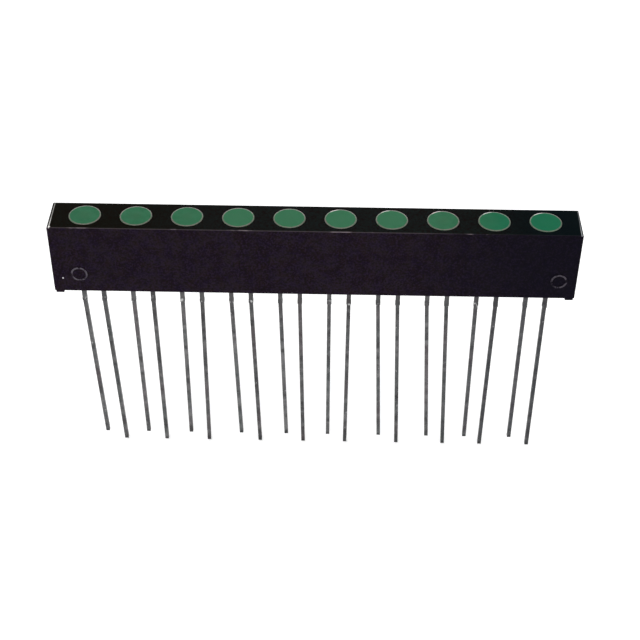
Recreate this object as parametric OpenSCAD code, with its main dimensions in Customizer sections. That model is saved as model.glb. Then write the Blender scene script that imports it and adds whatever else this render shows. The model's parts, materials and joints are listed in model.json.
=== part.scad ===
// LED bar graph: ten flat-topped round lamps in a row, pressed into one black moulded holder.
// X runs along the row, the front faces -Y and the lamps face up. Z = 0 is the board that the feet stand on.

/* [Row] */
// Distance from one lamp to the next
lamp_pitch = 6.35; // [6.2:0.05:7.6]
// Distance from an outer lamp to the end of the housing
end_margin = 4.425; // [4.2:0.025:6]

/* [Housing] */
// Depth of the housing from front to back
body_depth = 5.4; // [5.3:0.05:7]
// Height of the housing without its feet
body_height = 9.85; // [8.5:0.05:12]
// Rounding of the two short top edges
end_edge_r = 0.3; // [0.2:0.05:0.8]
// Rounding of the two long top edges
long_edge_r = 0.15; // [0.1:0.05:0.3]
// Rounding of the four upright corners
corner_r = 0.2; // [0.1:0.05:0.5]
// Height of the stand-off feet
foot_height = 0.3; // [0.1:0.05:1]
// Width of a foot along the row
foot_width = 1; // [0.5:0.05:1.5]
// Distance of a foot from the end of the housing
foot_inset = 0.2; // [0:0.05:0.4]

/* [Lamp bores] */
// Gap between a lens and its hole
lens_clearance = 0.05; // [0.02:0.01:0.1]
// Gap between a flange and the wider bore below the shoulder
flange_clearance = 0.12; // [0.08:0.01:0.2]
// Gap between a flange and the three ribs that grip it
rib_clearance = 0.02; // [0:0.01:0.05]
// Width of a gripping rib
rib_width = 0.5; // [0.3:0.05:0.8]
// Length of a rib below the flange
rib_lead_in = 0.4; // [0.1:0.05:1]
// Width of the bevel at the mouth of each bore
bore_bevel = 0.1; // [0.05:0.05:0.3]

/* [Moulded marks] */
// Diameter of a round mark
mark_d = 2.1; // [1:0.05:3]
// Width of the raised line of a mark
mark_line = 0.22; // [0.1:0.02:0.4]
// Height of the raised line
mark_height = 0.08; // [0.04:0.01:0.15]
// Distance of the left mark from the left end
left_mark_inset = 3.4; // [2:0.05:5]
// Distance of the right mark from the right end
right_mark_inset = 2.3; // [2:0.05:5]
// Height of the marks above the underside
mark_rise = 2.7; // [1.6:0.05:6]
// Diameter of the gate pip
pip_d = 0.32; // [0.2:0.02:0.6]
// Distance of the gate pip from the left end
pip_inset = 1.3; // [0.6:0.05:1.6]
// Height of the gate pip above the underside
pip_rise = 2.05; // [1:0.05:6]

/* [Lens] */
// Diameter of the lens
lens_d = 4; // [3.8:0.05:4.3]
// Height of the lens from the base of its flange
lens_height = 6; // [5.5:0.1:6.5]
// How far the flat top stands above the housing
lens_proud = 0.05; // [0:0.05:0.5]
// Rounding of the lens's top edge
lens_edge_r = 0.06; // [0.04:0.02:0.3]
// Diameter of the flange
flange_d = 4.5; // [4.4:0.05:4.8]
// Thickness of the flange
flange_height = 0.8; // [0.5:0.1:1.2]
// Depth of the flat on the flange at the cathode
flange_flat = 0.2; // [0.1:0.05:0.25]

/* [Leads] */
// Distance between the two leads of a lamp
lead_spacing = 2.54; // [2.3:0.02:2.6]
// Thickness of the strip
lead_thickness = 0.5; // [0.42:0.01:0.6]
// Width of a lead below its tie-bar stub
lead_width = 0.5; // [0.35:0.01:0.56]
// Width of a lead above its tie-bar stub
shank_width = 0.57; // [0.45:0.01:0.6]
// Width across a tie-bar stub
stub_width = 0.62; // [0.6:0.01:0.8]
// Height of a tie-bar stub
stub_height = 0.5; // [0.2:0.05:1]
// Distance of the stubs below the board face
stub_drop = 2.8; // [2:0.1:6]
// Length of the cathode leads below the board face
cathode_length = 26.9; // [12:0.1:32]
// Length of the anode leads below the board face
anode_length = 28.3; // [12:0.1:34]
// Furthest sideways lean of a lead's tip from handling
tip_lean = 1.2; // [0:0.1:1.5]

/* [Lead heads] */
// Height above the flange at which the leads begin to spread
head_rise = 0.3; // [0.1:0.05:0.5]
// Height of the slope from the cathode's shank to its head
head_slope = 0.9; // [0.6:0.05:1]
// Height of the slope on the outer side of the cathode's head
head_shoulder = 0.8; // [0.4:0.05:1]
// Setback of the cathode's head from the side of the cup
head_setback = 0.08; // [0.04:0.01:0.12]
// Depth of the cup's rim below the top of the lens
cup_depth_in_lens = 2.4; // [2:0.1:2.6]
// Outer diameter of the reflector cup
cup_d = 1; // [0.9:0.02:1.1]
// Inner diameter of the cup at its rim
cup_mouth_d = 0.78; // [0.66:0.02:0.84]
// Inner diameter of the cup at its floor
cup_floor_d = 0.46; // [0.42:0.02:0.56]
// Depth of the cup
cup_depth = 0.35; // [0.28:0.01:0.45]
// Thickness of metal below the cup's floor
cup_base = 0.3; // [0.2:0.02:0.4]
// Height of the taper that joins the cup to the strip
cup_taper = 0.4; // [0.2:0.05:0.5]
// Diameter of that taper at its lower end
cup_taper_d = 0.4; // [0.3:0.02:0.42]
// Gap between the cup and the anode post
post_gap = 0.3; // [0.2:0.02:0.36]
// Height of the slope from the anode's shank to its post
post_slope = 0.7; // [0.4:0.05:1]
// Bevel on the outer corner of the post
post_bevel = 0.1; // [0.04:0.02:0.2]

/* [Die and bond wire] */
// Side of the square die
die_side = 0.28; // [0.2:0.02:0.29]
// Height of the die
die_height = 0.2; // [0.15:0.01:0.25]
// Diameter of the bond wire
wire_d = 0.03; // [0.02:0.005:0.05]

/* [Hidden] */
$fn = 64;
lamp_count = 10;
// Share of the lean that each lead's tip has, along the row
cathode_lean = [0.75, 0.25, -0.05, 0.55, 0.5, 0.05, 0.7, 1, 0.15, 0.1];
anode_lean = [0.75, 0.2, -0.1, 0.6, 0.35, -0.05, 0.7, 0.85, -0.1, 0.15];
// Extra length that a cut has past the faces it opens
over = 1;
// Depth that a raised form starts below the face it stands on
sink = 0.1;

body_length = (lamp_count - 1) * lamp_pitch + 2 * end_margin;
under_z = foot_height;
top_z = under_z + body_height;
lens_top_z = top_z + lens_proud;
lens_base_z = lens_top_z - lens_height;
shoulder_z = lens_base_z + flange_height;
lens_bore_d = lens_d + 2 * lens_clearance;
flange_bore_d = flange_d + 2 * flange_clearance;

head_z = shoulder_z + head_rise;
cup_rim_z = lens_top_z - cup_depth_in_lens;
cup_floor_z = cup_rim_z - cup_depth;
cup_base_z = cup_floor_z - cup_base;
cup_foot_z = cup_base_z - cup_taper;
die_top_z = cup_floor_z + die_height;
post_left_x = cup_d / 2 + post_gap;
post_right_x = lead_spacing / 2 + shank_width / 2;
wire_span = (post_left_x + post_right_x) / 2;

LAMPS = [for (i = [1 : lamp_count]) i];
function two_digits(i) = i < 10 ? str("0", i) : str(i);
function lamp_node(piece, i) = str(piece, "_", two_digits(i));
function lamp_x(i) = (i - (lamp_count + 1) / 2) * lamp_pitch;

PIECES = ["lens", "cathode_lead", "anode_lead", "die", "bond_wire"];

// Outline of a bar seen from one side, with its two top corners rounded
module round_topped(width, height, r) {
  translate([-width / 2, 0])
    square([width, height - r]);
  translate([-width / 2 + r, 0])
    square([width - 2 * r, height]);
  for (side = [-1, 1])
    translate([side * (width / 2 - r), height - r])
      circle(r);
}

// Outline of the bar seen from above
module footprint() {
  square([body_length, body_depth - 2 * corner_r], center = true);
  square([body_length - 2 * corner_r, body_depth], center = true);
  for (sx = [-1, 1])
    for (sy = [-1, 1])
      translate([sx * (body_length / 2 - corner_r), sy * (body_depth / 2 - corner_r)])
        circle(corner_r);
}

// The bar before its bores are made
module bar() {
  intersection() {
    linear_extrude(body_height)
      footprint();
    rotate([90, 0, 0])
      linear_extrude(body_depth + 2 * over, center = true)
        round_topped(body_length, body_height, end_edge_r);
    rotate([90, 0, 90])
      linear_extrude(body_length + 2 * over, center = true)
        round_topped(body_depth, body_height, long_edge_r);
  }
}

// Stepped bore of one lamp: lens hole, shoulder, wider flange bore and bevelled mouth
module lamp_bore() {
  translate([0, 0, shoulder_z - over])
    cylinder(d = lens_bore_d, h = top_z - shoulder_z + 2 * over);
  translate([0, 0, under_z - over])
    cylinder(d = flange_bore_d, h = shoulder_z - under_z + over);
  translate([0, 0, under_z])
    cylinder(d1 = flange_bore_d + 2 * bore_bevel, d2 = flange_bore_d, h = bore_bevel);
}

// Three ribs inside a bore that grip the lamp's flange
module grip_ribs() {
  rib_foot_z = lens_base_z - rib_lead_in;
  rib_height = shoulder_z - rib_foot_z;
  for (turn = [0, 120, 240])
    rotate([0, 0, turn])
      difference() {
        translate([flange_d / 2 - sink, -rib_width / 2, rib_foot_z])
          cube([sink + flange_clearance + sink, rib_width, rib_height + sink]);
        translate([0, 0, rib_foot_z - over])
          cylinder(d = flange_d + 2 * rib_clearance, h = rib_height + over);
      }
}

module feet() {
  linear_extrude(foot_height + sink)
    intersection() {
      footprint();
      for (side = [-1, 1])
        translate([side * (body_length / 2 - foot_inset - foot_width / 2), 0])
          square([foot_width, body_depth + 2 * over], center = true);
    }
}

// Places a form on the front face, at a distance along the row and a height above the underside
module on_front(x, rise) {
  translate([x, -body_depth / 2, under_z + rise])
    rotate([90, 0, 0])
      children();
}

// A raised ring
module round_mark() {
  difference() {
    translate([0, 0, -sink])
      cylinder(d = mark_d, h = mark_height + sink);
    cylinder(d = mark_d - 2 * mark_line, h = mark_height + over);
  }
}

module gate_pip() {
  translate([0, 0, -sink])
    cylinder(d = pip_d, h = mark_height + sink);
}

module housing() {
  color([0.05, 0.05, 0.06]) {
    difference() {
      union() {
        translate([0, 0, under_z])
          bar();
        feet();
      }
      for (i = LAMPS)
        translate([lamp_x(i), 0, 0])
          lamp_bore();
    }
    for (i = LAMPS)
      translate([lamp_x(i), 0, 0])
        grip_ribs();
    on_front(-body_length / 2 + left_mark_inset, mark_rise)
      round_mark();
    on_front(body_length / 2 - right_mark_inset, mark_rise)
      round_mark();
    on_front(-body_length / 2 + pip_inset, pip_rise)
      gate_pip();
  }
}

// Half section of the round body of a lens, from its axis outwards, with the rounded top edge
module lens_section() {
  square([lens_d / 2, lens_height - lens_edge_r]);
  square([lens_d / 2 - lens_edge_r, lens_height]);
  translate([lens_d / 2 - lens_edge_r, lens_height - lens_edge_r])
    intersection() {
      circle(lens_edge_r);
      square(lens_edge_r);
    }
}

// Flange of a lens, with its flat on the cathode's side
module flange() {
  linear_extrude(flange_height)
    difference() {
      circle(d = flange_d);
      translate([flange_flat - 3 * flange_d / 2, -flange_d])
        square([flange_d, 2 * flange_d]);
    }
}

// Epoxy body of one lamp, cast round the heads of its leads, the die and the wire
module lens(i) {
  color([0.1, 0.5, 0.25])
    difference() {
      translate([0, 0, lens_base_z]) {
        rotate_extrude()
          lens_section();
        flange();
      }
      cathode_lead(i);
      anode_lead(i);
      die();
      bond_wire();
    }
}

// One side of a stamped leg, from its tip up to the shank above the tie-bar stub
function leg_side(x, side, length, lean) = [
  [x + lean + side * lead_width / 2, -length],
  [x + side * lead_width / 2, -stub_drop - stub_height],
  [x + side * stub_width / 2, -stub_drop - stub_height],
  [x + side * stub_width / 2, -stub_drop],
  [x + side * shank_width / 2, -stub_drop],
];

function reversed(list) = [for (k = [len(list) - 1 : -1 : 0]) list[k]];

// A stamped lead: leg and head in one outline in the plane of the row, as thick as the strip
module stamped_lead(x, length, lean, head) {
  right_side = leg_side(x, 1, length, lean);
  left_side = reversed(leg_side(x, -1, length, lean));
  rotate([90, 0, 0])
    linear_extrude(lead_thickness, center = true)
      polygon(concat(right_side, head, left_side));
}

// Reflector cup before its hollow is coined: a drum on a taper
module cup_blank() {
  rotate_extrude()
    polygon([
      [0, cup_foot_z],
      [cup_taper_d / 2, cup_foot_z],
      [cup_d / 2, cup_base_z],
      [cup_d / 2, cup_rim_z],
      [0, cup_rim_z],
    ]);
}

// Cathode lead: leg, broad head and the reflector cup coined on the head
module cathode_lead(i) {
  x = -lead_spacing / 2;
  half_head = cup_d / 2 - head_setback;
  head = [
    [x + shank_width / 2, head_z],
    [half_head, head_z + head_slope],
    [half_head, cup_base_z],
    [-half_head, cup_base_z],
    [x - shank_width / 2, cup_base_z - head_shoulder],
  ];
  color([0.7, 0.7, 0.7])
    difference() {
      union() {
        stamped_lead(x, cathode_length, tip_lean * cathode_lean[i - 1], head);
        cup_blank();
      }
      translate([0, 0, cup_floor_z])
        cylinder(d1 = cup_floor_d, d2 = cup_mouth_d, h = cup_depth);
    }
}

// Anode lead: leg and the post that takes the bond wire
module anode_lead(i) {
  x = lead_spacing / 2;
  head = [
    [post_right_x, die_top_z - 2 * post_bevel],
    [post_right_x - post_bevel, die_top_z],
    [post_left_x, die_top_z],
    [post_left_x, head_z + post_slope],
    [x - shank_width / 2, head_z],
  ];
  color([0.72, 0.72, 0.7])
    stamped_lead(x, anode_length, tip_lean * anode_lean[i - 1], head);
}

// Chip on the floor of the cup
module die() {
  color([0.75, 0.6, 0.2])
    translate([0, 0, cup_floor_z + die_height / 2])
      cube([die_side, die_side, die_height], center = true);
}

// Fine wire looped from the die to the anode post
module bond_wire() {
  color([0.9, 0.7, 0.2])
    translate([wire_span / 2, 0, die_top_z])
      rotate([90, 0, 0])
        rotate_extrude(angle = 180)
          translate([wire_span / 2, 0])
            circle(d = wire_d);
}

housing();
for (i = LAMPS) {
  translate([lamp_x(i), 0, 0]) {
    lens(i);
    cathode_lead(i);
    anode_lead(i);
    die();
    bond_wire();
  }
}
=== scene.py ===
"""LED bar graph: the finish of every piece, the studio light and the camera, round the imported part."""
import json

import bpy
from mathutils import Matrix, Vector

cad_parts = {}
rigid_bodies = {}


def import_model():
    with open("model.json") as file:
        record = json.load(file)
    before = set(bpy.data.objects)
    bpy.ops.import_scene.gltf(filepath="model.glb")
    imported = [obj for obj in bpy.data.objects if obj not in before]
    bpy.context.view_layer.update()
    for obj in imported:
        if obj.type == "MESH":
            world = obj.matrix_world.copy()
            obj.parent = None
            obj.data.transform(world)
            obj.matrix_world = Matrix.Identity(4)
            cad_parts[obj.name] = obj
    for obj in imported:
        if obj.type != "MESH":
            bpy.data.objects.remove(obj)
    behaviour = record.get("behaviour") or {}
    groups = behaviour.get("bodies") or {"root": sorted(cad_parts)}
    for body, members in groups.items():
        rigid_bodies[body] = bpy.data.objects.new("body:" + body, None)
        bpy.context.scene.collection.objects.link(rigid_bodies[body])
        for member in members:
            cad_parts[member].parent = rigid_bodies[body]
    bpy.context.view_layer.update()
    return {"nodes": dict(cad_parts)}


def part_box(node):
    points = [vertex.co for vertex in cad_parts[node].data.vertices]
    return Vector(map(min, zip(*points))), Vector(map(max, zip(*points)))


for leftover in list(bpy.data.objects):
    bpy.data.objects.remove(leftover)
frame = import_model()

MM = 0.001
LAMP_COUNT = 10
LAMPS = [f"{i:02d}" for i in range(1, LAMP_COUNT + 1)]

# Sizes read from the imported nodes
HOUSING_LOW, HOUSING_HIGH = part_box("housing")
FIRST_LENS_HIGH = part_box("lens_01")[1]
LAST_LENS_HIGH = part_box(f"lens_{LAMPS[-1]}")[1]
FLANGE_R = FIRST_LENS_HIGH.y
FIRST_LAMP_X = FIRST_LENS_HIGH.x - FLANGE_R
LAMP_PITCH = (LAST_LENS_HIGH.x - FIRST_LENS_HIGH.x) / (LAMP_COUNT - 1)
END_X = HOUSING_HIGH.x
WHOLE_X = (-END_X, END_X)
BACK_Y = HOUSING_HIGH.y
FRONT_Y = -BACK_Y
MARK_Y = HOUSING_LOW.y
TOP_Z = HOUSING_HIGH.z
TIP_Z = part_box("anode_lead_01")[0].z

# Camera, in the part's frame
EYE = Vector((0.002099, -0.141496, 0.112365))
SIGHT = Vector((-0.007372, 0.766426, -0.642290))
SIDEWAYS = Vector((0.999842, 0.016049, 0.007675))
LENS_MM = 79.015
SENSOR_MM = 36.0
CLIP_START = 5 * MM

# Studio
WHITE = (1.0, 1.0, 1.0)
FLOOR_Z = TIP_Z - 0.4 * MM
FLOOR_HALF = 3.0
FLOOR_TONES = ((0.90, 0.90, 0.90), (0.92, 0.92, 0.92))
FLOOR_GLOW = 0.22
CARD_TOWARD = Vector((0.0, 0.695, 0.719))
CARD_FADE = (0.83, 0.91)
CARD_STRENGTH = 0.08
SUN_ALONG = Vector((0.2, 0.35, -1.0))
SUN_ANGLE = 1.1
SUN_ENERGY = 1.4

# Spans of noise, which lies round 0.5
NOISE_WIDE = (0.3, 0.7)
NOISE_MIDDLE = (0.35, 0.65)


class Graph:
    """Node tree of one material, with short calls for the nodes used here.

    A span is a pair of values: where an effect starts and where it is full.
    """

    def __init__(self, name):
        self.material = bpy.data.materials.new(name)
        self.material.use_nodes = True
        self.tree = self.material.node_tree
        self.tree.nodes.clear()
        output = self.add("ShaderNodeOutputMaterial")
        self.shader = self.add("ShaderNodeBsdfPrincipled")
        self.link(self.shader.outputs["BSDF"], output.inputs["Surface"])
        coordinates = self.add("ShaderNodeTexCoord")
        self.place = coordinates.outputs["Object"]
        self.normal = coordinates.outputs["Normal"]
        self.x, self.y, self.z = self.axes(self.place)

    def add(self, kind, **settings):
        node = self.tree.nodes.new(kind)
        for name, value in settings.items():
            setattr(node, name, value)
        return node

    def link(self, source, target):
        self.tree.links.new(source, target)

    def feed(self, socket, value):
        """Links a socket to another node's output, or sets it to a number, vector or colour."""
        if isinstance(value, bpy.types.NodeSocket):
            self.link(value, socket)
        elif socket.type == "RGBA":
            socket.default_value = (*value, 1.0)
        else:
            socket.default_value = value

    def set(self, **values):
        """Feeds the shader's own sockets, with underscores for the spaces in their names."""
        for name, value in values.items():
            self.feed(self.shader.inputs[name.replace("_", " ")], value)

    def axes(self, vector):
        node = self.add("ShaderNodeSeparateXYZ")
        self.link(vector, node.inputs[0])
        return node.outputs

    def math(self, operation, a, b=0.0, c=0.0):
        node = self.add("ShaderNodeMath", operation=operation)
        for socket, value in zip(node.inputs, (a, b, c)):
            self.feed(socket, value)
        return node.outputs[0]

    def absolute(self, value):
        return self.math("ABSOLUTE", value)

    def product(self, first, *others):
        result = first
        for other in others:
            result = self.math("MULTIPLY", result, other)
        return result

    def step(self, value, span, low=0.0, high=1.0):
        """A smooth step from low to high as value crosses the span."""
        node = self.add("ShaderNodeMapRange", interpolation_type="SMOOTHSTEP")
        start, full = span
        settings = {"Value": value, "From Min": start, "From Max": full, "To Min": low, "To Max": high}
        for name, setting in settings.items():
            self.feed(node.inputs[name], setting)
        return node.outputs["Result"]

    def band(self, value, rise, fall):
        """1 between two spans, 0 outside them."""
        return self.product(self.step(value, rise), self.step(value, fall, low=1.0, high=0.0))

    def near(self, point, reach):
        """A spot round a point that fades out at its reach."""
        node = self.add("ShaderNodeVectorMath", operation="DISTANCE")
        self.link(self.place, node.inputs[0])
        node.inputs[1].default_value = point
        return self.step(node.outputs["Value"], (reach, reach / 2))

    def noise(self, scale, detail=2.0, roughness=0.5):
        """Noise with so many features to the metre, one number or one for each axis."""
        per_axis = scale if isinstance(scale, tuple) else (scale, scale, scale)
        stretch = self.add("ShaderNodeVectorMath", operation="MULTIPLY")
        self.link(self.place, stretch.inputs[0])
        stretch.inputs[1].default_value = per_axis
        node = self.add("ShaderNodeTexNoise")
        self.link(stretch.outputs[0], node.inputs["Vector"])
        for name, value in (("Scale", 1.0), ("Detail", detail), ("Roughness", roughness)):
            node.inputs[name].default_value = value
        return node.outputs["Fac"]

    def mix(self, share, a, b):
        """The colour a, with a share of the colour b."""
        node = self.add("ShaderNodeMix", data_type="RGBA")
        self.feed(node.inputs["Factor"], share)
        socket_a, socket_b = (socket for socket in node.inputs if socket.type == "RGBA")
        self.feed(socket_a, a)
        self.feed(socket_b, b)
        return next(socket for socket in node.outputs if socket.type == "RGBA")

    def tint(self, colour, tone, value, span, share=1.0):
        """The colour, with up to a share of the tone as value crosses the span."""
        return self.mix(self.step(value, span, high=share), colour, tone)

    def eased(self, radius):
        """Normals that ease over sharp edges."""
        node = self.add("ShaderNodeBevel", samples=4)
        node.inputs["Radius"].default_value = radius
        return node.outputs["Normal"]

    def bump(self, height, strength, distance, under=None):
        node = self.add("ShaderNodeBump")
        node.inputs["Strength"].default_value = strength
        node.inputs["Distance"].default_value = distance
        self.link(height, node.inputs["Height"])
        if under is not None:
            self.link(under, node.inputs["Normal"])
        return node.outputs["Normal"]


# Colours of the housing, in linear light
PLUM_DARK = (0.0042, 0.0010, 0.0050)
PLUM_LIGHT = (0.0092, 0.0054, 0.0088)
BLUE_DRIFT = (0.0054, 0.0020, 0.0130)
BROWN_DRIFT = (0.0100, 0.0042, 0.0052)
LILAC_SPECK = (0.0122, 0.0068, 0.0164)
BLACK_SPECK = (0.0036, 0.0020, 0.0020)
# painted shade for the right end of the front
SIDE_PAINTED_SHADE = (0.0, 0.0, 0.0032)
TOP_DARK = (0.0018, 0.0026, 0.0018)
TOP_LIGHT = (0.0032, 0.0040, 0.0032)
TOP_MIDDLE = (0.0054, 0.0062, 0.0058)
TEAL_SPECK = (0.0050, 0.0080, 0.0080)
RUST_SPECK = (0.0040, 0.0006, 0.0008)
TOP_WARM = (0.0036, 0.0022, 0.0004)
# painted shade for the right end of the top
TOP_PAINTED_SHADE = (0.0, 0.0024, 0.0036)
# painted highlight along the long top edges
LONG_EDGE_HIGHLIGHT = (0.14, 0.115, 0.125)
# painted highlight along the short top edges, brighter at the left end
LEFT_END_HIGHLIGHT = (0.46, 0.45, 0.43)
RIGHT_END_HIGHLIGHT = (0.24, 0.25, 0.26)
# painted highlight on the raised marks of the front
MARK_HIGHLIGHT = (0.068, 0.060, 0.074)
# painted highlight: white dot on the pip
PIP_HIGHLIGHT = (0.95, 0.93, 0.95)
# painted glint on the front-left top corner
CORNER_GLINT = (0.72, 0.70, 0.68)

# Places where the housing's finish changes
UPWARD = (0.6, 0.8)
ROUNDED = (0.97, 0.86)
SIDE_PAINTED_SHADE_X = (6 * MM, END_X)
TOP_MIDDLE_X = (24 * MM, 14 * MM)
TOP_WARM_X = (-4 * MM, -28 * MM)
TOP_PAINTED_SHADE_X = (18 * MM, END_X - 2 * MM)
UPPER_Z = (TOP_Z - 0.6 * MM, TOP_Z - 0.3 * MM)
CREST_Z = (TOP_Z - 0.14 * MM, TOP_Z - 0.08 * MM)
LONG_EDGE_Y = (BACK_Y - 0.3 * MM, BACK_Y - 0.2 * MM)
LONG_EDGE_SHARE = 0.9
PATCHES_END_X = (13 * MM, 20 * MM)
FAINT_LINE_END_X = (12 * MM, 20 * MM)
RIGHT_HALF_X = (-1 * MM, 1 * MM)
DEPTH_Y = (-2.2 * MM, 2.2 * MM)
FRONT_HALF_Y = (1.2 * MM, -2.0 * MM)
END_LINE_RISE = (0.24 * MM, 0.29 * MM)
END_LINE_FALL = (0.36 * MM, 0.41 * MM)
END_LINE_SHIFT = (0.06 * MM, 0.16 * MM)
END_LINE_LEAST = 0.45
END_MATT_GAP = (0.28 * MM, 0.22 * MM)
RAISED_Y = (FRONT_Y - 0.02 * MM, FRONT_Y - 0.05 * MM)
PIP = Vector((-END_X + 1.3 * MM, MARK_Y, 2.35 * MM))
PIP_REACH = 0.085 * MM
CORNER = Vector((-END_X + 0.36 * MM, FRONT_Y + 0.2 * MM, TOP_Z))
CORNER_REACH = 0.18 * MM


def side_colour(g, clouds, specks):
    """Plum black with blue and brown drifts and fine specks, with painted shade darkening it to the right.
    """
    drifts = g.noise(800, roughness=0.6)
    colour = g.tint(PLUM_DARK, PLUM_LIGHT, clouds, (0.40, 0.60))
    colour = g.tint(colour, BLUE_DRIFT, drifts, (0.50, 0.62), share=0.5)
    colour = g.tint(colour, BROWN_DRIFT, drifts, (0.48, 0.36), share=0.5)
    # painted shade: the front darkened towards the right end, in two stages round the specks
    colour = g.tint(colour, SIDE_PAINTED_SHADE, g.x, SIDE_PAINTED_SHADE_X, share=0.55)
    colour = g.tint(colour, LILAC_SPECK, specks, (0.52, 0.60), share=0.9)
    colour = g.tint(colour, BLACK_SPECK, specks, (0.47, 0.38), share=0.9)
    return g.tint(colour, SIDE_PAINTED_SHADE, g.x, SIDE_PAINTED_SHADE_X, share=0.60)


def top_colour(g, clouds, specks):
    """Green black with teal and rust specks, paler in the middle, warm at the left, with painted shade
    darkening it at the right.
    """
    colour = g.tint(TOP_DARK, TOP_LIGHT, clouds, (0.40, 0.62))
    colour = g.tint(colour, TOP_MIDDLE, g.absolute(g.x), TOP_MIDDLE_X, share=0.8)
    colour = g.tint(colour, TEAL_SPECK, specks, (0.50, 0.62), share=0.8)
    colour = g.tint(colour, RUST_SPECK, specks, (0.48, 0.36), share=0.8)
    colour = g.tint(colour, TOP_WARM, g.x, TOP_WARM_X, share=0.6)
    # painted shade on the right end of the top
    return g.tint(colour, TOP_PAINTED_SHADE, g.x, TOP_PAINTED_SHADE_X, share=0.9)


def end_gap(g):
    """Distance from the nearer end of the housing."""
    return g.math("SUBTRACT", END_X, g.absolute(g.x))


def long_edge_highlight(g, facing):
    """Share of painted highlight on the long top edges: bright patches on a faint line, less to the right.
    """
    flattest = g.math("MAXIMUM", g.math("MAXIMUM", facing[0], facing[1]), facing[2])
    outermost = g.step(g.absolute(g.y), LONG_EDGE_Y)
    on_edge = g.product(g.step(flattest, ROUNDED), g.step(g.z, UPPER_Z), outermost)
    patches = g.noise((330, 900, 900), detail=3.0, roughness=0.6)
    patches = g.math("SUBTRACT", patches, g.step(g.x, PATCHES_END_X, high=0.10))
    bright = g.step(patches, (0.48, 0.64), high=0.9)
    faint = g.step(g.x, FAINT_LINE_END_X, low=0.20, high=0.03)
    return g.product(on_edge, g.math("MAXIMUM", bright, faint), LONG_EDGE_SHARE)


def end_edge_highlight(g):
    """Share of the painted highlight line along the short top edges, strongest in front, further out at
    the right.
    """
    near_shift, far_shift = END_LINE_SHIFT
    shift = g.step(g.y, DEPTH_Y, low=near_shift, high=far_shift)
    inset = g.math("ADD", end_gap(g), g.product(g.step(g.x, RIGHT_HALF_X), shift))
    line = g.band(inset, END_LINE_RISE, END_LINE_FALL)
    strength = g.math("MAXIMUM", g.step(g.y, FRONT_HALF_Y), END_LINE_LEAST)
    return g.product(g.step(g.z, CREST_Z), line, strength)


def mark_highlight(g):
    """Share of painted highlight on the raised marks of the front, broken up and less to the right."""
    broken = g.step(g.noise((1700, 200, 1700)), (0.42, 0.57), low=0.06)
    return g.product(g.step(g.y, RAISED_Y), broken, g.step(g.x, WHOLE_X, low=1.0, high=0.75))


def housing_colour(g):
    facing = [g.absolute(part) for part in g.axes(g.normal)]
    clouds = g.noise(420, detail=3.0, roughness=0.65)
    specks = g.noise(4000, roughness=0.6)
    upward = g.step(facing[2], UPWARD)
    colour = g.mix(upward, side_colour(g, clouds, specks), top_colour(g, clouds, specks))
    # painted highlight along the long top edges
    colour = g.mix(long_edge_highlight(g, facing), colour, LONG_EDGE_HIGHLIGHT)
    # painted highlight along the short top edges
    end_highlight = g.tint(LEFT_END_HIGHLIGHT, RIGHT_END_HIGHLIGHT, g.x, WHOLE_X)
    colour = g.mix(end_edge_highlight(g), colour, end_highlight)
    # painted highlight on the raised marks
    colour = g.mix(mark_highlight(g), colour, MARK_HIGHLIGHT)
    # painted highlight: a white dot on the pip
    colour = g.mix(g.near(PIP, PIP_REACH), colour, PIP_HIGHLIGHT)
    # painted glint on the front-left top corner
    return g.mix(g.near(CORNER, CORNER_REACH), colour, CORNER_GLINT)


def housing_finish():
    """Black moulding: fine matt grain, faint colour clouds, painted highlights on the top edges and raised
    marks.
    """
    g = Graph("housing_black_moulded")
    grain = g.noise(7000, detail=3.0, roughness=0.6)
    fine = g.noise(22000)
    rough = g.step(grain, NOISE_WIDE, low=0.34, high=0.46)
    matt_ends = g.product(g.step(g.z, UPPER_Z), g.step(end_gap(g), END_MATT_GAP))
    coarse_bump = g.bump(grain, strength=0.2, distance=0.02 * MM, under=g.eased(0.05 * MM))
    fine_bump = g.bump(fine, strength=0.12, distance=0.01 * MM, under=coarse_bump)
    g.set(Base_Color=housing_colour(g), Roughness=g.math("MAXIMUM", rough, matt_ends))
    g.set(Specular_IOR_Level=0.035, Normal=fine_bump)
    return g.material


# Colours of the lenses, in linear light
GREEN_DARK = (0.0230, 0.108, 0.053)
GREEN_LIGHT = (0.0285, 0.122, 0.062)
GREEN_CORE = (0.036, 0.106, 0.056)
GREEN_INNER = (0.034, 0.130, 0.066)
GREEN_LAST = (0.0055, 0.110, 0.053)
# rim colours: part frost, part painted highlight, brighter towards the back
RIM_FRONT_FROST_AND_HIGHLIGHT = (0.136, 0.138, 0.115)
RIM_BACK_FROST_AND_HIGHLIGHT = (0.285, 0.28, 0.255)
# painted glint on the back-left of the rim
RIM_GLINT = (0.62, 0.60, 0.57)
SCATTER = (0.3, 1.0, 0.5)

# Places where the lenses' finish changes, directions as parts of the radius
LENS_R = 2.0 * MM
CORE_R = (1.3 * MM, 0.2 * MM)
RIM_R = (LENS_R - 0.18 * MM, LENS_R - 0.12 * MM)
RIM_Z = (TOP_Z - 0.1 * MM, TOP_Z)
INNER_LAMPS_X = (20 * MM, 9 * MM)
LAST_LAMPS_X = (FIRST_LAMP_X + 7.3 * LAMP_PITCH, FIRST_LAMP_X + 8.4 * LAMP_PITCH)
LAST_RIM_LOSS = 0.2
BACKWARD = (-0.3, 0.95)
GLINT_LAMPS_X = (FIRST_LAMP_X + 4.3 * LAMP_PITCH, FIRST_LAMP_X + 4.7 * LAMP_PITCH)
GLINT_TOWARD_X = -0.44
GLINT_TOWARD_Y = 0.90
GLINT_STRETCH = (0.93, 0.985)


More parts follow.
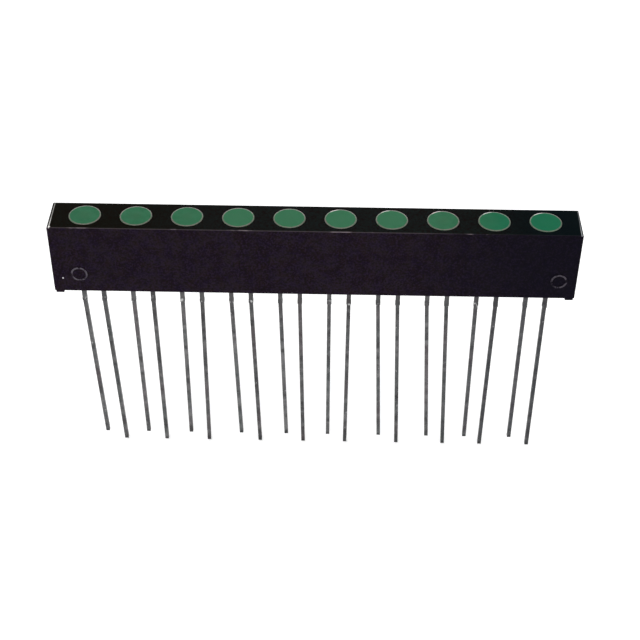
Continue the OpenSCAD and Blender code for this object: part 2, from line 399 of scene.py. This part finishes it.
def lens_body_colour(g, radius, last):
    """Cloudy green, browner over the lead heads, lighter in mid row and deeper in the last lamps."""
    clouds = g.noise(900, detail=3.0, roughness=0.6)
    colour = g.tint(GREEN_DARK, GREEN_LIGHT, clouds, NOISE_MIDDLE)
    colour = g.tint(colour, GREEN_CORE, radius, CORE_R, share=0.5)
    colour = g.tint(colour, GREEN_INNER, g.absolute(g.x), INNER_LAMPS_X, share=0.8)
    return g.mix(last, colour, GREEN_LAST)


def lens_colour(g):
    half_pitch = LAMP_PITCH / 2
    along = g.math("WRAP", g.math("SUBTRACT", g.x, FIRST_LAMP_X), half_pitch, -half_pitch)
    radius = g.math("SQRT", g.math("ADD", g.product(along, along), g.product(g.y, g.y)))
    last = g.step(g.x, LAST_LAMPS_X, high=0.85)
    rim = g.product(g.step(radius, RIM_R), g.step(g.z, RIM_Z))

    # pale rim: part frost, part painted highlight where the rounded edge catches light, painted brighter
    # at the back
    rim_patches = g.step(g.noise(3500), (0.3, 0.55), low=0.5)
    rim_strength = g.math("SUBTRACT", 1.0, g.product(last, LAST_RIM_LOSS))
    rim_frost_and_highlight = g.tint(RIM_FRONT_FROST_AND_HIGHLIGHT, RIM_BACK_FROST_AND_HIGHLIGHT, g.math("DIVIDE", g.y, radius), BACKWARD)
    colour = g.mix(g.product(rim, rim_patches, rim_strength), lens_body_colour(g, radius, last), rim_frost_and_highlight)

    # painted glint on the back-left of the rim, on the later lamps
    toward = g.math("ADD", g.product(g.y, GLINT_TOWARD_Y), g.product(along, GLINT_TOWARD_X))
    stretch = g.step(g.math("DIVIDE", toward, radius), GLINT_STRETCH)
    return g.mix(g.product(rim, stretch, g.step(g.x, GLINT_LAMPS_X)), colour, RIM_GLINT)


def lens_finish():
    """Diffused green epoxy, unlit: cloudy body, a pale rim that is part frost and part painted highlight,
    and a painted glint on later lamps.
    """
    g = Graph("lens_green_epoxy")
    grain = g.noise(9000)
    g.set(Base_Color=lens_colour(g), Roughness=g.step(grain, NOISE_WIDE, low=0.3, high=0.42))
    g.set(Specular_IOR_Level=0.1, Normal=g.bump(grain, strength=0.1, distance=0.01 * MM))
    g.set(Subsurface_Weight=0.25, Subsurface_Scale=0.6 * MM, Subsurface_Radius=SCATTER)
    return g.material


# Colours of the leads, in linear light
BLACK = (0.0, 0.0, 0.0)
TIN_DARK = (0.075, 0.075, 0.078)
TIN_LIGHT = (0.115, 0.115, 0.117)
PATCH_LIGHT = (0.150, 0.150, 0.152)
PATCH_DARK = (0.050, 0.049, 0.051)
BLOTCH_LIGHT = (0.170, 0.168, 0.170)
BLOTCH_DARK = (0.040, 0.040, 0.041)
TIN_WARM = (0.106, 0.084, 0.092)
TIN_COOL = (0.080, 0.092, 0.092)
# painted shade on the leads just under the housing
TIN_PAINTED_SHADE_UNDER_BODY = (0.042, 0.040, 0.042)
TIN_RIGHT = (0.030, 0.034, 0.040)
TIN_TIP = (0.020, 0.019, 0.020)
# sheared stub: pale bare metal and painted highlight
SHEARED_AND_HIGHLIGHT = (0.42, 0.42, 0.42)
NICK = (0.32, 0.32, 0.33)
CATHODE_BRIGHTNESS = 1.0
ANODE_BRIGHTNESS = 0.83

# Places where the leads' finish changes
STUB_TOP_Z = -2.8 * MM
STUB_FOOT_Z = STUB_TOP_Z - 0.5 * MM
STUB_FADE = 0.2 * MM
STUB_RISE = (STUB_FOOT_Z - STUB_FADE, STUB_FOOT_Z)
STUB_FALL = (STUB_TOP_Z, STUB_TOP_Z + STUB_FADE)
UNDER_BODY_Z = (STUB_TOP_Z - 6 * MM, STUB_TOP_Z)
RIGHT_LEADS_X = (15 * MM, 24 * MM)
TIP_SHADE = (0.55 * MM, 0.15 * MM)


def tin_colour(g, streaks):
    """Grey tin: drawn streaks, broad patches, small blotches and faint warm and cool hues."""
    patches = g.noise((330, 330, 260), detail=3.0, roughness=0.6)
    blotches = g.noise((900, 900, 1000), roughness=0.6)
    hues = g.noise((240, 240, 150))
    colour = g.tint(TIN_DARK, TIN_LIGHT, streaks, NOISE_WIDE)
    colour = g.tint(colour, PATCH_LIGHT, patches, (0.50, 0.64), share=0.75)
    colour = g.tint(colour, PATCH_DARK, patches, (0.46, 0.34), share=0.75)
    colour = g.tint(colour, BLOTCH_LIGHT, blotches, (0.52, 0.66), share=0.8)
    colour = g.tint(colour, BLOTCH_DARK, blotches, (0.47, 0.34), share=0.8)
    colour = g.tint(colour, TIN_WARM, hues, (0.52, 0.64), share=0.4)
    return g.tint(colour, TIN_COOL, hues, (0.48, 0.36), share=0.4)


def lead_colour(g, streaks, tip_z, brightness):
    """Tin, with painted shade under the housing, darker to the right and at the tip, with a sheared stub
    that is pale as bare metal and as painted highlight, and nicks.
    """
    nicks = g.noise((1500, 1500, 1300))
    colour = tin_colour(g, streaks)
    # painted shade on the leads just under the housing
    colour = g.tint(colour, TIN_PAINTED_SHADE_UNDER_BODY, g.z, UNDER_BODY_Z, share=0.40)
    colour = g.tint(colour, TIN_RIGHT, g.x, RIGHT_LEADS_X, share=0.5)
    colour = g.tint(colour, TIN_TIP, g.math("SUBTRACT", g.z, tip_z), TIP_SHADE, share=0.6)
    colour = g.mix(1.0 - brightness, colour, BLACK)
    # sheared stub: pale bare metal and painted highlight
    sheared_and_highlight = g.product(g.band(g.z, STUB_RISE, STUB_FALL), g.step(nicks, (0.54, 0.66)))
    colour = g.mix(sheared_and_highlight, colour, SHEARED_AND_HIGHLIGHT)
    return g.tint(colour, NICK, nicks, (0.70, 0.76), share=0.7)


def lead_finish(pole, brightness):
    """Dull tinned strip with fine streaks along it."""
    g = Graph(f"{pole}_tinned_strip")
    tip_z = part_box(f"{pole}_lead_{LAMPS[0]}")[0].z
    streaks = g.noise((9000, 9000, 500), detail=3.0, roughness=0.6)
    g.set(Base_Color=lead_colour(g, streaks, tip_z, brightness), Metallic=0.85)
    g.set(Roughness=g.step(streaks, NOISE_WIDE, low=0.38, high=0.55))
    g.set(Normal=g.bump(streaks, strength=0.2, distance=0.01 * MM, under=g.eased(0.06 * MM)))
    return g.material


# Colours of the dies and the bond wires, in linear light
CRYSTAL_DARK = (0.42, 0.30, 0.10)
CRYSTAL_LIGHT = (0.55, 0.42, 0.16)
GOLD_DARK = (0.85, 0.58, 0.20)
GOLD_LIGHT = (0.95, 0.70, 0.28)


def die_finish():
    """Sawn crystal, with the saw's marks up its sides."""
    g = Graph("die_sawn_crystal")
    saw = g.noise((60000, 60000, 4000))
    g.set(Base_Color=g.tint(CRYSTAL_DARK, CRYSTAL_LIGHT, saw, NOISE_MIDDLE))
    g.set(Roughness=g.step(saw, NOISE_WIDE, low=0.3, high=0.5))
    g.set(Normal=g.bump(saw, strength=0.2, distance=0.003 * MM))
    return g.material


def wire_finish():
    """Drawn gold wire."""
    g = Graph("wire_drawn_gold")
    lines = g.noise(90000)
    g.set(Base_Color=g.tint(GOLD_DARK, GOLD_LIGHT, lines, NOISE_MIDDLE), Metallic=1.0)
    g.set(Roughness=g.step(lines, NOISE_WIDE, low=0.2, high=0.32))
    return g.material


def dress(finish, names):
    """Gives a finish to each node named."""
    for name in names:
        frame["nodes"][name].material_slots[0].material = finish


def lamp_nodes(piece):
    """Names of the ten nodes of one kind."""
    return [f"{piece}_{n}" for n in LAMPS]


def make_floor():
    g = Graph("floor_pale")
    g.set(Base_Color=g.mix(g.noise(3.0), *FLOOR_TONES), Roughness=0.9)
    g.set(Specular_IOR_Level=0.0, Emission_Color=WHITE, Emission_Strength=FLOOR_GLOW)
    signs = ((-1, -1), (1, -1), (1, 1), (-1, 1))
    corners = [(sx * FLOOR_HALF, sy * FLOOR_HALF, FLOOR_Z) for sx, sy in signs]
    mesh = bpy.data.meshes.new("floor")
    mesh.from_pydata(corners, [], [(0, 1, 2, 3)])
    mesh.materials.append(g.material)
    floor = bpy.data.objects.new("floor", mesh)
    bpy.context.scene.collection.objects.link(floor)


def make_camera():
    camera = bpy.data.objects.new("camera", bpy.data.cameras.new("camera"))
    camera.data.lens = LENS_MM
    camera.data.sensor_width = SENSOR_MM
    camera.data.clip_start = CLIP_START
    look = SIGHT.normalized()
    right = (SIDEWAYS - SIDEWAYS.dot(look) * look).normalized()
    up = right.cross(look)
    turn = Matrix((right, up, -look)).transposed().to_4x4()
    camera.matrix_world = Matrix.Translation(EYE) @ turn
    bpy.context.scene.collection.objects.link(camera)
    bpy.context.scene.camera = camera


def make_world():
    """Soft white surround with a darker card behind the part, so that its top stays black."""
    world = bpy.data.worlds.new("studio")
    bpy.context.scene.world = world
    world.use_nodes = True
    tree = world.node_tree
    background = tree.nodes["Background"]
    background.inputs["Color"].default_value = (*WHITE, 1.0)
    place = tree.nodes.new("ShaderNodeTexCoord")
    toward = tree.nodes.new("ShaderNodeVectorMath")
    toward.operation = "DOT_PRODUCT"
    toward.inputs[1].default_value = CARD_TOWARD.normalized()
    fade = tree.nodes.new("ShaderNodeMapRange")
    fade.interpolation_type = "SMOOTHSTEP"
    fade.inputs["From Min"].default_value, fade.inputs["From Max"].default_value = CARD_FADE
    fade.inputs["To Min"].default_value = 1.0
    fade.inputs["To Max"].default_value = CARD_STRENGTH
    tree.links.new(place.outputs["Generated"], toward.inputs[0])
    tree.links.new(toward.outputs["Value"], fade.inputs["Value"])
    tree.links.new(fade.outputs["Result"], background.inputs["Strength"])


def add_sky_light():
    """Broad soft light from above the front, even over the whole floor."""
    lamp = bpy.data.lights.new("overhead", "SUN")
    lamp.angle = SUN_ANGLE
    lamp.energy = SUN_ENERGY
    overhead = bpy.data.objects.new("overhead", lamp)
    overhead.rotation_euler = SUN_ALONG.to_track_quat("-Z", "Y").to_euler()
    bpy.context.scene.collection.objects.link(overhead)


dress(housing_finish(), ["housing"])
dress(lens_finish(), lamp_nodes("lens"))
dress(lead_finish("cathode", CATHODE_BRIGHTNESS), lamp_nodes("cathode_lead"))
dress(lead_finish("anode", ANODE_BRIGHTNESS), lamp_nodes("anode_lead"))
dress(die_finish(), lamp_nodes("die"))
dress(wire_finish(), lamp_nodes("bond_wire"))

make_floor()
make_camera()
make_world()
add_sky_light()
bpy.context.scene.view_settings.view_transform = "Standard"
